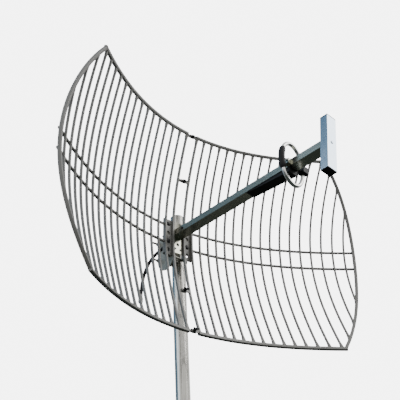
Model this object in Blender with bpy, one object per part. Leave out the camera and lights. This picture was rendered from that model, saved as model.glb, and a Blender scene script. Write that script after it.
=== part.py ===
import math

import bmesh
import bpy
from mathutils import Matrix, Vector

# Grid parabolic antenna on a steel mast.
# Dish frame: x to the right seen from the front, y up, z along the boresight, vertex at zero.
# Clamp frame: on the mast axis at pivot height, x as in the dish frame, -Y to the front, Z up.

# overall sizes, metres
dish_width = 1.000           # across the bowed side bars, outside to outside
dish_height = 0.600          # between the outer faces of the top and bottom bars
corner_width = 0.808         # between the corners, where the side bars meet the top bar
focal_length = 0.2955
end_flattening = -1.57       # how far the ribs flatten towards their ends, per metre cubed
corner_lift = 1.16           # how far the corners rise, per metre cubed

# grid castings
ribs_per_half = 18
centre_gap = 0.0379          # between the two inner ribs
rib_pitch = 0.02675
rib_width = 0.0054
rib_depth = 0.0062
inner_rib_width = 0.0064
frame_width = 0.0088
frame_depth = 0.0090
tie_width = 0.0024
rod_width = 0.0066
rod_depth = 0.0066
upper_rod_y = 0.0188
lower_rod_y = -0.0328
hub_top = 0.0370
hub_bottom = -0.0680
hub_thickness = 0.0040
hub_back = -0.0065
square_hole = 0.0086
round_hole = 0.0110
carriage_y = (0.0240, -0.0280)
lightening_y = (-0.0040, -0.0530)
ear_height = 0.0086
ear_thickness = 0.0030
ear_overlap = 0.0080         # how far an ear reaches past the centre line
ear_y = (0.1610, -0.1730)
rim_ear_inset = 0.0030       # the outermost ears' centres below and above the frame's bars

# fasteners
clearance = 0.0003
bolt_diameter = 0.0060
nut_across = 0.0100
nut_height = 0.0050
washer_diameter = 0.0125
washer_thickness = 0.0012
bolt_reach = 0.0095          # past the plates, for the washer and nut
seam_screw_diameter = 0.0040
seam_screw_length = 0.0170
screw_head_diameter = 0.0080
wing_span = 0.0120           # from the wing nut's axis to a wing's end
wing_thickness = 0.0020
wing_lean = -30.0            # degrees that each wing leans back
carriage_length = 0.0160

# feed
feed_rise = 1.5              # degrees that the arm stands above the boresight
feed_roll = -9.0             # degrees that the arm and its bar are turned about the arm's axis
arm_width = 0.0270
arm_height = 0.0190
arm_wall = 0.0016
socket_wall = 0.0020
socket_length = 0.0720
shoulder_length = 0.0030      # of the arm's solid step at the joint line
bar_z = 0.5370
bar_length = 0.1550
bar_width = 0.0300
bar_depth = 0.0215
bar_screw_length = 0.0320
end_cap_thickness = 0.0022
loop_z = 0.4265
loop_rise = 0.0040
loop_half_width = 0.0355
loop_half_height = 0.0585
loop_diameter = 0.0100
loop_step = 9.0              # degrees between points on the loop
sleeve_start = 139.5         # degrees round the loop from its right-hand side
sleeve_steps = 7
sleeve_wall = 0.0027
strut_diameter = 0.0090
small_screw_diameter = 0.0030
block_inner = 0.0090         # how far the block reaches inside the loop's centre line
block_outer = 0.0095
block_bottom = -0.0060
block_top = 0.0110
block_back = 0.0075          # behind the loop's centre line
block_front = 0.0115
block_screw_out = 0.0060
block_screw_front = 0.0065
housing_length = 0.1450      # of the tapered housing under the arm, back from its front end
housing_start = 0.0015       # its depth at the back
housing_drop = 0.0135        # its depth at the front
housing_left = -0.0115
housing_cheek = 0.0027
foot_thickness = 0.0035
foot_bottom = -0.0560
foot_hole_y = -0.0300
foot_hole_diameter = 0.0100
foot_screw_x = 0.0090
foot_screw_y = -0.0440
foot_screw_diameter = 0.0030
arm_screw_z = 0.0330
arm_screw_length = 0.0042
screw_hole_diameter = seam_screw_diameter + 2 * clearance
lead_y = 0.0020
strut_y = -0.0005
lead_hole_diameter = 0.0060
terminal_thickness = 0.0070
terminal_screw_y = 0.0060

# mast and clamp
mast_diameter = 0.0380
mast_wall = 0.0020
mast_above_pivot = 0.0940
mast_below_pivot = 0.5060
cap_thickness = 0.0030
saddle_depth = 0.0290        # from the mast to the clamp plate
saddle_height = 0.0200
saddle_width = 0.0320
plate_thickness = 0.0030
ubolt_drop = 0.0520          # between the two U-bolts
ubolt_reach = 0.0220         # how far the threaded ends pass the plate
plate_top = 0.0135           # above the pivot axis
plate_straight = 0.0550      # below the pivot axis, where the round bottom starts
plate_rear_edge = 0.0295     # behind the mast axis
plate_relief = 0.0060        # how far the round bottom's front stands back from the pivot
pivot_reach = 0.0465         # pivot axis in front of the mast axis
pivot_y = 0.0100             # pivot axis in the dish frame
pivot_z = -0.0240
pivot_boss = 0.0100          # radius of both plates round the pivot bolt
lock_boss = 0.0085
lock_radius = 0.0420
lock_angle = 51.0            # degrees below the rear horizontal
dish_tilt = -3.0             # boresight elevation as built, degrees
tilt_up = 28.0
tilt_down = 12.0
flange_thickness = 0.0030
flange_half_width = 0.0430
flange_top = 0.0400
flange_bottom = -0.0500

# pigtail
cable_diameter = 0.0090
gland_inset = 0.0063         # from the arm's left face in to the gland's axis
gland_y = -0.0015
gland_length = 0.0060
gland_across = 0.0140        # over the flats
gland_thread = 0.0092
gland_hole = 0.0100
coax_diameter = 0.0050
connector_length = 0.0260
cable_route = (
    (-0.0072, -0.0015, -0.0166),
    (-0.0072, -0.0015, -0.0212),
    (-0.0078, -0.0058, -0.0277),
    (-0.0094, -0.0120, -0.0320),
    (-0.0124, -0.0190, -0.0354),
    (-0.0166, -0.0263, -0.0387),
    (-0.0214, -0.0335, -0.0427),
    (-0.0276, -0.0410, -0.0476),
    (-0.0338, -0.0492, -0.0534),
    (-0.0394, -0.0587, -0.0599),
    (-0.0440, -0.0698, -0.0666),
    (-0.0475, -0.0826, -0.0731),
    (-0.0500, -0.0968, -0.0790),
    (-0.0518, -0.1120, -0.0838),
    (-0.0530, -0.1280, -0.0872),
    (-0.0538, -0.1440, -0.0890),
    (-0.0542, -0.1600, -0.0896),
)

gland_x = gland_inset - arm_width / 2
plate_x = -(mast_diameter / 2 + saddle_depth)          # right face of the clamp plate
leg_offset = mast_diameter / 2 + bolt_diameter / 2 + clearance
hub_x = centre_gap / 2 + rib_pitch / 2
flange_back = hub_back - clearance - flange_thickness

finishes = {
    "cast_grey": ((0.17, 0.18, 0.18), 0.55, 0.6),
    "tube_grey": ((0.30, 0.34, 0.35), 0.35, 0.9),
    "zinc": ((0.42, 0.42, 0.36), 0.40, 0.9),
    "stainless": ((0.62, 0.61, 0.58), 0.18, 1.0),
    "bright": ((0.80, 0.80, 0.78), 0.20, 1.0),
    "black_plastic": ((0.012, 0.012, 0.013), 0.45, 0.0),
    "black_steel": ((0.03, 0.03, 0.03), 0.45, 0.8),
    "cable_black": ((0.010, 0.010, 0.011), 0.40, 0.0),
}


def clear_scene():
    for piece in list(bpy.data.objects):
        bpy.data.objects.remove(piece, do_unlink=True)


def make_material(name):
    colour, roughness, metallic = finishes[name]
    material = bpy.data.materials.new(name)
    material.use_nodes = True
    shader = material.node_tree.nodes["Principled BSDF"]
    shader.inputs["Base Color"].default_value = (*colour, 1.0)
    shader.inputs["Roughness"].default_value = roughness
    shader.inputs["Metallic"].default_value = metallic
    return material


clear_scene()
parts = bpy.data.collections.new("grid_antenna")
cutters = bpy.data.collections.new("cutters")
bpy.context.scene.collection.children.link(parts)
bpy.context.scene.collection.children.link(cutters)
materials = {name: make_material(name) for name in finishes}


# shapes: each returns a loose object in its frame's own coordinates

def from_bmesh(shape, name="shape"):
    bmesh.ops.recalc_face_normals(shape, faces=shape.faces)
    mesh = bpy.data.meshes.new(name)
    shape.to_mesh(mesh)
    shape.free()
    piece = bpy.data.objects.new(name, mesh)
    cutters.objects.link(piece)
    piece.display_type = "WIRE"
    piece.hide_render = True
    return piece


def box(low, high):
    shape = bmesh.new()
    bmesh.ops.create_cube(shape, size=1.0)
    size = Vector(high) - Vector(low)
    middle = (Vector(high) + Vector(low)) / 2
    bmesh.ops.scale(shape, vec=size, verts=shape.verts)
    bmesh.ops.translate(shape, vec=middle, verts=shape.verts)
    return from_bmesh(shape)


def rod(start, end, diameter, sides=16):
    start = Vector(start)
    end = Vector(end)
    run = end - start
    shape = bmesh.new()
    bmesh.ops.create_cone(shape, cap_ends=True, segments=sides, radius1=diameter / 2,
                          radius2=diameter / 2, depth=run.length)
    turn = run.to_track_quat("Z", "Y").to_matrix()
    bmesh.ops.rotate(shape, matrix=turn, verts=shape.verts)
    bmesh.ops.translate(shape, vec=(start + end) / 2, verts=shape.verts)
    return from_bmesh(shape)


def hex_bar(start, end, across):
    return rod(start, end, across / math.cos(math.pi / 6), sides=6)


def turned(start, direction, profile, sides=16):
    """A profile of (radius, distance) from one end of the axis to the other, spun about it."""
    shape = bmesh.new()
    rim = [shape.verts.new((radius, 0.0, distance)) for radius, distance in profile]
    edges = [shape.edges.new(pair) for pair in zip(rim, rim[1:])]
    bmesh.ops.spin(shape, geom=rim + edges, axis=(0, 0, 1), cent=(0, 0, 0),
                   angle=2 * math.pi, steps=sides, use_merge=True)
    bmesh.ops.remove_doubles(shape, verts=shape.verts, dist=0.00002)
    turn = Vector(direction).to_track_quat("Z", "Y").to_matrix()
    bmesh.ops.rotate(shape, matrix=turn, verts=shape.verts)
    bmesh.ops.translate(shape, vec=Vector(start), verts=shape.verts)
    return from_bmesh(shape)


def bent_bar(path, segments, width, depth, offset=0.0):
    """A rectangular bar along path(t) in plan, bent onto the dish surface."""
    shape = bmesh.new()
    bmesh.ops.create_cube(shape, size=1.0)
    lengthwise = [edge for edge in shape.edges
                  if abs(edge.verts[0].co.x - edge.verts[1].co.x) > 0.5]
    bmesh.ops.subdivide_edges(shape, edges=lengthwise, cuts=segments - 1)
    for vert in shape.verts:
        t = vert.co.x + 0.5
        centre = on_dish(*path(t))
        ahead = on_dish(*path(t + 0.001)) - on_dish(*path(t - 0.001))
        along = ahead.normalized()
        normal = dish_normal(*path(t))
        across = normal.cross(along).normalized()
        vert.co = centre + across * (vert.co.y * width) + normal * (vert.co.z * depth + offset)
    return from_bmesh(shape)


def tube_curve(points, diameter, cyclic=False, resolution=2):
    curve = bpy.data.curves.new("tube", "CURVE")
    curve.dimensions = "3D"
    curve.bevel_depth = diameter / 2
    curve.bevel_resolution = resolution
    curve.use_fill_caps = not cyclic
    spline = curve.splines.new("POLY")
    spline.points.add(len(points) - 1)
    for point, place in zip(spline.points, points):
        point.co = (*place, 1.0)
    spline.use_cyclic_u = cyclic
    source = bpy.data.objects.new("tube", curve)
    cutters.objects.link(source)
    graph = bpy.context.evaluated_depsgraph_get()
    mesh = bpy.data.meshes.new_from_object(source.evaluated_get(graph))
    bpy.data.objects.remove(source, do_unlink=True)
    shape = bmesh.new()
    shape.from_mesh(mesh)
    bmesh.ops.remove_doubles(shape, verts=shape.verts, dist=0.00001)
    return from_bmesh(shape)


def prism(outline, low, high, axis="x"):
    """A plate between two values on the axis, from its outline in the two other axes."""
    shape = bmesh.new()
    if axis == "x":
        rim = [shape.verts.new((low, a, b)) for a, b in outline]
    else:
        rim = [shape.verts.new((a, b, low)) for a, b in outline]
    face = shape.faces.new(rim)
    made = bmesh.ops.extrude_face_region(shape, geom=[face])
    moved = [item for item in made["geom"] if isinstance(item, bmesh.types.BMVert)]
    run = high - low
    bmesh.ops.translate(shape, vec=(run, 0, 0) if axis == "x" else (0, 0, run), verts=moved)
    return from_bmesh(shape)


def arc(centre, radius, start, end, steps):
    """Points on an arc; angles in degrees from the first axis towards the second."""
    points = []
    for step in range(steps + 1):
        angle = math.radians(start + (end - start) * step / steps)
        points.append((centre[0] + radius * math.cos(angle), centre[1] + radius * math.sin(angle)))
    return points


def combine(base, others, operation):
    if not others:
        return base
    group = bpy.data.collections.new("operands")
    bpy.context.scene.collection.children.link(group)
    for other in others:
        group.objects.link(other)
    step = base.modifiers.new(operation.lower(), "BOOLEAN")
    step.operation = operation
    step.solver = "EXACT"
    step.operand_type = "COLLECTION"
    step.collection = group
    graph = bpy.context.evaluated_depsgraph_get()
    mesh = bpy.data.meshes.new_from_object(base.evaluated_get(graph))
    for other in others + [base]:
        bpy.data.objects.remove(other, do_unlink=True)
    bpy.data.collections.remove(group)
    result = bpy.data.objects.new("shape", mesh)
    cutters.objects.link(result)
    return result


def fuse(*shapes):
    return combine(shapes[0], list(shapes[1:]), "UNION")


def cut(base, *shapes):
    return combine(base, list(shapes), "DIFFERENCE")


def finish(name, shape, finish_name, parent=None, offset=(0, 0, 0)):
    shape.name = name
    shape.data.name = name
    shape.data.materials.clear()
    shape.data.materials.append(materials[finish_name])
    shape.data.shade_smooth()
    shape.data.set_sharp_from_angle(angle=math.radians(35))
    shape.display_type = "TEXTURED"
    shape.hide_render = False
    cutters.objects.unlink(shape)
    parts.objects.link(shape)
    shape.parent = parent
    shape.location = offset
    return shape


def empty(name, place, turn=(0, 0, 0), parent=None):
    frame = bpy.data.objects.new(name, None)
    parts.objects.link(frame)
    frame.location = place
    frame.rotation_euler = turn
    frame.parent = parent
    return frame


# the dish surface

def dish_depth(x, y):
    bowl = (x * x + y * y) / (4 * focal_length)
    return bowl + end_flattening * y ** 4 + corner_lift * x * x * y * y


def on_dish(x, y):
    return Vector((x, y, dish_depth(x, y)))


def dish_normal(x, y):
    step = 0.0005
    slope_x = (dish_depth(x + step, y) - dish_depth(x - step, y)) / (2 * step)
    slope_y = (dish_depth(x, y + step) - dish_depth(x, y - step)) / (2 * step)
    return Vector((-slope_x, -slope_y, 1.0)).normalized()


half_height = dish_height / 2 - frame_width / 2
ear_levels = {"top": half_height - rim_ear_inset, "upper": ear_y[0],
              "lower": ear_y[1], "bottom": -half_height + rim_ear_inset}
rod_offset = -(rib_depth / 2 + rod_depth / 2 - 0.0012)     # the rods lie behind the ribs
half_width = dish_width / 2 - frame_width / 2
corner_x = corner_width / 2 - frame_width / 2
side_sag = half_width - corner_x
side_radius = (half_height ** 2 + side_sag ** 2) / (2 * side_sag)


def side_x(y):
    return half_width - side_radius + math.sqrt(side_radius ** 2 - y * y)


def side_y(x):
    reach = x - half_width + side_radius
    return math.sqrt(max(side_radius ** 2 - reach * reach, 0.0))


def rib_x(number):
    return centre_gap / 2 + (number - 1) * rib_pitch


# joints: the clamp turns on the mast, the dish tilts on the clamp's pivot bolt

pivot_height = cap_thickness + mast_below_pivot
tilt = math.radians(90 - dish_tilt)
clamp = empty("azimuth_axis", (0, 0, pivot_height))
pivot_x = plate_x - plate_thickness
dish_x = pivot_x - 0.0050     # vertex to the left of the pivot plate's left face
elevation = empty("elevation_axis", (dish_x, -pivot_reach, 0), (tilt, 0, 0), clamp)
to_vertex = (0, -pivot_y, -pivot_z)
feed = empty("feed_axis", to_vertex, (math.radians(-feed_rise), 0, 0), elevation)
arm_frame = empty("arm_axis", (0, 0, 0), (0, 0, math.radians(feed_roll)), feed)
unrolled = Matrix.Rotation(math.radians(-feed_roll), 4, "Z")


def dish_piece(name, shape, finish_name):
    return finish(name, shape, finish_name, elevation, to_vertex)


def clamp_piece(name, shape, finish_name):
    return finish(name, shape, finish_name, clamp)


def feed_piece(name, shape, finish_name):
    return finish(name, shape, finish_name, arm_frame)


def upright(shape):
    """A loose shape kept square to the dish inside the arm's rolled frame."""
    shape.data.transform(unrolled)
    return shape


# fasteners

def nut(start, direction, across=nut_across, height=nut_height, bore=bolt_diameter):
    start = Vector(start)
    along = Vector(direction).normalized()
    body = hex_bar(start, start + along * height, across)
    hole = rod(start - along * 0.001, start + along * (height + 0.001),
               bore + 2 * clearance, sides=12)
    return cut(body, hole)


def flanged_nut(start, direction):
    start = Vector(start)
    along = Vector(direction).normalized()
    top = start + along * (washer_thickness + nut_height)
    body = fuse(rod(start, start + along * washer_thickness, washer_diameter),
                hex_bar(start + along * washer_thickness / 2, top, nut_across))
    hole = rod(start - along * 0.001, start + along * (washer_thickness + nut_height + 0.001),
               bolt_diameter + 2 * clearance, sides=12)
    return cut(body, hole)


def washer(start, direction, outer=washer_diameter, thickness=washer_thickness,
           bore=bolt_diameter):
    start = Vector(start)
    along = Vector(direction).normalized()
    body = rod(start, start + along * thickness, outer, sides=16)
    hole = rod(start - along * 0.001, start + along * (thickness + 0.001),
               bore + 2 * clearance, sides=12)
    return cut(body, hole)


def hex_bolt(head_face, direction, length, across=nut_across, head=0.0042,
             diameter=bolt_diameter):
    face = Vector(head_face)
    along = Vector(direction).normalized()
    head_part = hex_bar(face - along * head, face, across)
    shank = rod(face - along * head / 2, face + along * length, diameter, sides=12)
    return fuse(head_part, shank)


def pan_screw(head_face, direction, length, diameter, head_diameter, head=0.0024):
    radius = diameter / 2
    profile = [(0, -head), (head_diameter * 0.30, -head), (head_diameter / 2, -head * 0.45),
               (head_diameter / 2, 0), (radius, 0), (radius, length), (0, length)]
    return turned(head_face, direction, profile, sides=12)


# reflector

def grid_half(side):
    def plan(points):
        return lambda t: (side * points(t)[0], points(t)[1])

    def straight(start, end):
        return plan(lambda t: (start[0] + (end[0] - start[0]) * t,
                               start[1] + (end[1] - start[1]) * t))

    inner = rib_x(1)
    second = rib_x(2)
    frame = bent_bar(plan(lambda t: (side_x(half_height * (2 * t - 1)),
                                     half_height * (2 * t - 1))), 16, frame_width, frame_depth)
    bars = []
    for level in (half_height, -half_height):
        bars.append(bent_bar(straight((inner - inner_rib_width / 2, level),
                                      (corner_x + frame_width / 2, level)),
                             11, frame_width, frame_depth, 0.0001))
    for number in range(1, ribs_per_half + 1):
        x = rib_x(number)
        end = min(half_height, side_y(x) if x > corner_x else half_height)
        width = inner_rib_width if number == 1 else rib_width
        cuts = 10 if number < 16 else 7
        bars.append(bent_bar(straight((x, -end), (x, end)), cuts, width, rib_depth, 0.0003))
    for level in (upper_rod_y, lower_rod_y):
        bars.append(bent_bar(straight((second, level), (side_x(level), level)),
                             11, rod_width, rod_depth, rod_offset))
    hub_face = hub_back + hub_thickness
    hub = [box((min(side * (inner - inner_rib_width / 2), side * (second + rib_width / 2)),
                hub_bottom, hub_back),
               (max(side * (inner - inner_rib_width / 2), side * (second + rib_width / 2)),
                hub_top, hub_face))]
    for x, width in ((inner, inner_rib_width), (second, rib_width)):
        hub.append(box((side * x - width / 2 + 0.0002, hub_bottom + 0.0002, hub_back + 0.001),
                       (side * x + width / 2 - 0.0002, hub_top - 0.0002,
                        dish_depth(x, hub_bottom))))
    for level in ear_levels.values():
        offset = side * (ear_thickness / 2 + clearance / 2)
        bars.append(bent_bar(straight((inner, level), (-ear_overlap, level)), 3, ear_height,
                             ear_thickness, offset))
    casting = fuse(frame, *bars, *hub)
    holes = []
    for level in carriage_y:
        holes.append(box((side * hub_x - square_hole / 2, level - square_hole / 2, -0.012),
                         (side * hub_x + square_hole / 2, level + square_hole / 2, 0.004)))
    for level in lightening_y:
        holes.append(rod((side * hub_x, level, -0.012), (side * hub_x, level, 0.004),
                         round_hole, sides=16))
    for level in ear_levels.values():
        place = on_dish(0, level)
        normal = dish_normal(0, level)
        holes.append(rod(place - normal * 0.01, place + normal * 0.01,
                         seam_screw_diameter + 2 * clearance, sides=12))
    return cut(casting, *holes)


def make_reflector():
    dish_piece("right_grid", grid_half(1), "cast_grey")
    dish_piece("left_grid", grid_half(-1), "cast_grey")
    for name, level in ear_levels.items():
        normal = dish_normal(0, level)
        front = on_dish(0, level) + normal * (ear_thickness + 1.5 * clearance)
        back = on_dish(0, level) - normal * (ear_thickness + 1.5 * clearance)
        dish_piece(f"seam_screw_{name}",
                   pan_screw(back, normal, seam_screw_length, seam_screw_diameter,
                             screw_head_diameter),
                   "black_steel")
        dish_piece(f"wing_nut_{name}", wing_nut(front, normal), "black_steel")


def wing_nut(face, direction):
    face = Vector(face)
    along = Vector(direction).normalized()
    up = Vector((0, 1, 0))
    side = along.cross(up).normalized()
    body = turned(face, along, [(0, 0), (0.0050, 0), (0.0040, 0.0060), (0, 0.0060)], sides=12)
    wings = []
    for way in (1, -1):
        wing = box((0.0020, -wing_thickness / 2, 0.0010), (wing_span, wing_thickness / 2, 0.0055))
        lean = Matrix.Rotation(math.radians(wing_lean), 4, "Y")
        frame = Matrix((side * way, along.cross(side) * way, along)).transposed().to_4x4()
        wing.data.transform(Matrix.Translation(face + along * 0.001) @ frame @ lean)
        wings.append(wing)
    hole = rod(face - along * 0.001, face + along * 0.016,
               seam_screw_diameter + 2 * clearance, sides=12)
    return cut(fuse(body, *wings), hole)


# feed

def cross_hole(x_low, x_high, y, z, diameter):
    return rod((x_low, y, z), (x_high, y, z), diameter, sides=12)


def make_feed():
    fit = 2 * clearance
    socket_width = arm_width + fit
    socket_height = arm_height + fit
    tongue_width = socket_width - 2 * socket_wall - fit
    tongue_height = socket_height - 2 * socket_wall - fit
    socket_back = hub_back + 0.0002
    seat = socket_back + hub_thickness
    arm_end = bar_z - bar_depth / 2 - clearance
    sleeve = box((-socket_width / 2, -socket_height / 2, socket_back),
                 (socket_width / 2, socket_height / 2, socket_length))
    foot = upright(box((-socket_width / 2 + 0.0005, foot_bottom, socket_back + 0.0001),
                       (socket_width / 2 - 0.0005, -socket_height / 2 + 0.0040,
                        socket_back + foot_thickness)))
    bore = box((-tongue_width / 2 - clearance, -tongue_height / 2 - clearance, seat),
               (tongue_width / 2 + clearance, tongue_height / 2 + clearance,
                socket_length + 0.01))
    holes = [upright(rod((gland_x, gland_y, socket_back - 0.004), (gland_x, gland_y, seat + 0.004),
                         gland_hole, sides=12)),
             upright(rod((0, foot_hole_y, -0.02), (0, foot_hole_y, 0.01), foot_hole_diameter)),
             cross_hole(-0.03, 0, 0, arm_screw_z, screw_hole_diameter)]
    for side in (-1, 1):
        holes.append(upright(rod((side * foot_screw_x, foot_screw_y, -0.02),
                                 (side * foot_screw_x, foot_screw_y, 0.01),
                                 foot_screw_diameter + 2 * clearance, sides=12)))
    feed_piece("feed_socket", cut(fuse(sleeve, foot), bore, *holes), "tube_grey")
    shoulder = socket_length + clearance
    arm = box((-arm_width / 2, -arm_height / 2, shoulder),
              (arm_width / 2, arm_height / 2, arm_end))
    tongue = box((-tongue_width / 2, -tongue_height / 2, seat + clearance),
                 (tongue_width / 2, tongue_height / 2, shoulder + 0.001))
    narrow = box((-tongue_width / 2 + arm_wall, -tongue_height / 2 + arm_wall, seat - 0.002),
                 (tongue_width / 2 - arm_wall, tongue_height / 2 - arm_wall,
                  shoulder + shoulder_length + 0.001))
    wide = box((-arm_width / 2 + arm_wall, -arm_height / 2 + arm_wall,
                shoulder + shoulder_length),
               (arm_width / 2 - arm_wall, arm_height / 2 - arm_wall, arm_end + 0.002))
    feed_piece("feed_arm",
               cut(fuse(arm, tongue), narrow, wide,
                   cross_hole(-0.03, 0, 0, arm_screw_z, screw_hole_diameter),
                   cross_hole(-0.03, 0, lead_y, loop_z, lead_hole_diameter),
                   cross_hole(0, 0.03, strut_y, loop_z, lead_hole_diameter)), "tube_grey")
    feed_piece("arm_screw",
               pan_screw((-socket_width / 2 - clearance, 0, arm_screw_z), (1, 0, 0),
                         arm_screw_length, seam_screw_diameter, screw_head_diameter),
               "black_steel")
    plug = box((-arm_width / 2 + arm_wall + clearance, -arm_height / 2 + arm_wall + clearance,
                arm_end - 0.016),
               (arm_width / 2 - arm_wall - clearance, arm_height / 2 - arm_wall - clearance,
                arm_end))
    plug_hole = rod((0, 0, arm_end - 0.020), (0, 0, arm_end + 0.002), screw_hole_diameter,
                    sides=12)
    feed_piece("arm_end_plug", cut(plug, plug_hole), "black_plastic")
    make_reflector_bar()
    make_loop()
    make_inner_coax(seat)


def make_reflector_bar():
    place = Matrix.Translation((0, 0, bar_z))
    outer = box((-bar_width / 2, -bar_length / 2, -bar_depth / 2),
                (bar_width / 2, bar_length / 2, bar_depth / 2))
    inner = box((-bar_width / 2 + arm_wall, -bar_length, -bar_depth / 2 + arm_wall),
                (bar_width / 2 - arm_wall, bar_length, bar_depth / 2 - arm_wall))
    bar = cut(outer, inner)
    hole = rod((0, 0, -bar_depth), (0, 0, bar_depth), screw_hole_diameter, sides=12)
    bar = cut(bar, hole)
    bar.data.transform(place)
    feed_piece("reflector_bar", bar, "tube_grey")
    for name, way in (("top", 1), ("bottom", -1)):
        start = bar_length / 2 + clearance
        lip = box((-bar_width / 2, start, -bar_depth / 2),
                  (bar_width / 2, start + end_cap_thickness, bar_depth / 2))
        inset = arm_wall + clearance
        spigot = box((-bar_width / 2 + inset, start - 0.009, -bar_depth / 2 + inset),
                     (bar_width / 2 - inset, start + 0.001, bar_depth / 2 - inset))
        cap = fuse(lip, spigot)
        if way < 0:
            cap.data.transform(Matrix.Rotation(math.pi, 4, "Z"))
        cap.data.transform(place)
        feed_piece(f"bar_cap_{name}", cap, "black_plastic")
    feed_piece("bar_screw",
               pan_screw((0, 0, bar_z + bar_depth / 2 + clearance), (0, 0, -1),
                         bar_screw_length, seam_screw_diameter, screw_head_diameter, 0.0014),
               "tube_grey")


def loop_points(first, count):
    """Points on the loop; angles in degrees, all on one grid so that bores follow the rod."""
    angles = [math.radians(first + loop_step * number) for number in range(count)]
    return [unrolled @ Vector((loop_half_width * math.cos(angle),
                               loop_rise + loop_half_height * math.sin(angle), loop_z))
            for angle in angles]


def make_loop():
    full_circle = round(360 / loop_step)
    feed_piece("loop_element",
               tube_curve(loop_points(sleeve_start, full_circle), loop_diameter, True), "bright")
    bore = loop_diameter + 2 * clearance
    outer = tube_curve(loop_points(sleeve_start, sleeve_steps + 1), bore + 2 * sleeve_wall)
    inner = tube_curve(loop_points(sleeve_start - loop_step, sleeve_steps + 3), bore)
    feed_piece("loop_sleeve", cut(outer, inner), "black_plastic")
    block = box((loop_half_width - block_inner, block_bottom, loop_z - block_back),
                (loop_half_width + block_outer, block_top, loop_z + block_front))
    strut = rod((arm_width / 2 + clearance, strut_y, loop_z),
                (loop_half_width, strut_y, loop_z), strut_diameter, sides=12)
    screw_x = loop_half_width + block_screw_out
    screw_z = loop_z + block_screw_front
    screw_hole = rod((screw_x, 0, screw_z), (screw_x, block_top + 0.01, screw_z),
                     small_screw_diameter + 2 * clearance, sides=12)
    tunnel = tube_curve(loop_points(sleeve_start - 19 * loop_step, 7), bore)
    feed_piece("loop_block", cut(fuse(block, strut, *feed_housing()), tunnel, screw_hole),
               "black_plastic")
    feed_piece("block_screw",
               pan_screw((screw_x, block_top + clearance, screw_z), (0, -1, 0),
                         0.0060, small_screw_diameter, 0.0066, 0.0045), "bright")
    arm_face = -arm_width / 2
    terminal_face = arm_face - clearance - terminal_thickness
    terminal = box((terminal_face, -0.0045, loop_z - 0.0070),
                   (arm_face - clearance, 0.0095, loop_z + 0.0070))
    lead = rod((arm_face - 0.004, lead_y, loop_z), (arm_face + 0.0035, lead_y, loop_z),
               lead_hole_diameter - 0.0010, sides=12)
    screw_z = loop_z + 0.0010
    screw_hole = cross_hole(terminal_face - 0.01, arm_face - 0.0040, terminal_screw_y, screw_z,
                            small_screw_diameter + 2 * clearance)
    feed_piece("feed_terminal", cut(fuse(terminal, lead), screw_hole), "tube_grey")
    feed_piece("terminal_screw",
               pan_screw((terminal_face - clearance, terminal_screw_y, screw_z), (1, 0, 0),
                         0.0026, small_screw_diameter, 0.0058, 0.0018), "bright")


def feed_housing():
    """The tapered housing under the arm and the cheek that carries it from the block's strut."""
    top = -arm_height / 2 - clearance
    front = loop_z + 0.0015
    back = front - housing_length
    cheek_left = arm_width / 2 + clearance
    taper = prism([(top, back), (top, front), (top - housing_drop, front),
                   (top - housing_start, back)], housing_left, cheek_left + 0.001)
    cheek = prism([(strut_y + 0.003, front - 0.0200), (strut_y + 0.003, front + 0.0001),
                   (top - 0.0100, front + 0.0001), (top - 0.0100, front - 0.0200)],
                  cheek_left, cheek_left + housing_cheek)
    return taper, cheek


def make_inner_coax(seat):
    start = seat + 2 * clearance
    end = loop_z - 0.0040
    feed_piece("inner_coax",
               upright(rod((gland_x, gland_y, start), (gland_x, gland_y, end), coax_diameter,
                           sides=12)),
               "cable_black")


# dish bracket: a flange behind the hubs with the tilt plate welded on, in the dish frame

def bracket_stack():
    """x values of the two plates' faces in the dish frame, from left to right."""
    clamp_left = pivot_x - dish_x
    clamp_right = clamp_left + plate_thickness
    tilt_left = clamp_right + clearance
    return clamp_left, clamp_right, tilt_left, tilt_left + plate_thickness


def lock_place(angle):
    """(y, z) of the lock bolt in the dish frame, angle in degrees below the rear horizontal."""
    turn = math.radians(angle)
    return (pivot_y - lock_radius * math.sin(turn), pivot_z - lock_radius * math.cos(turn))


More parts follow.
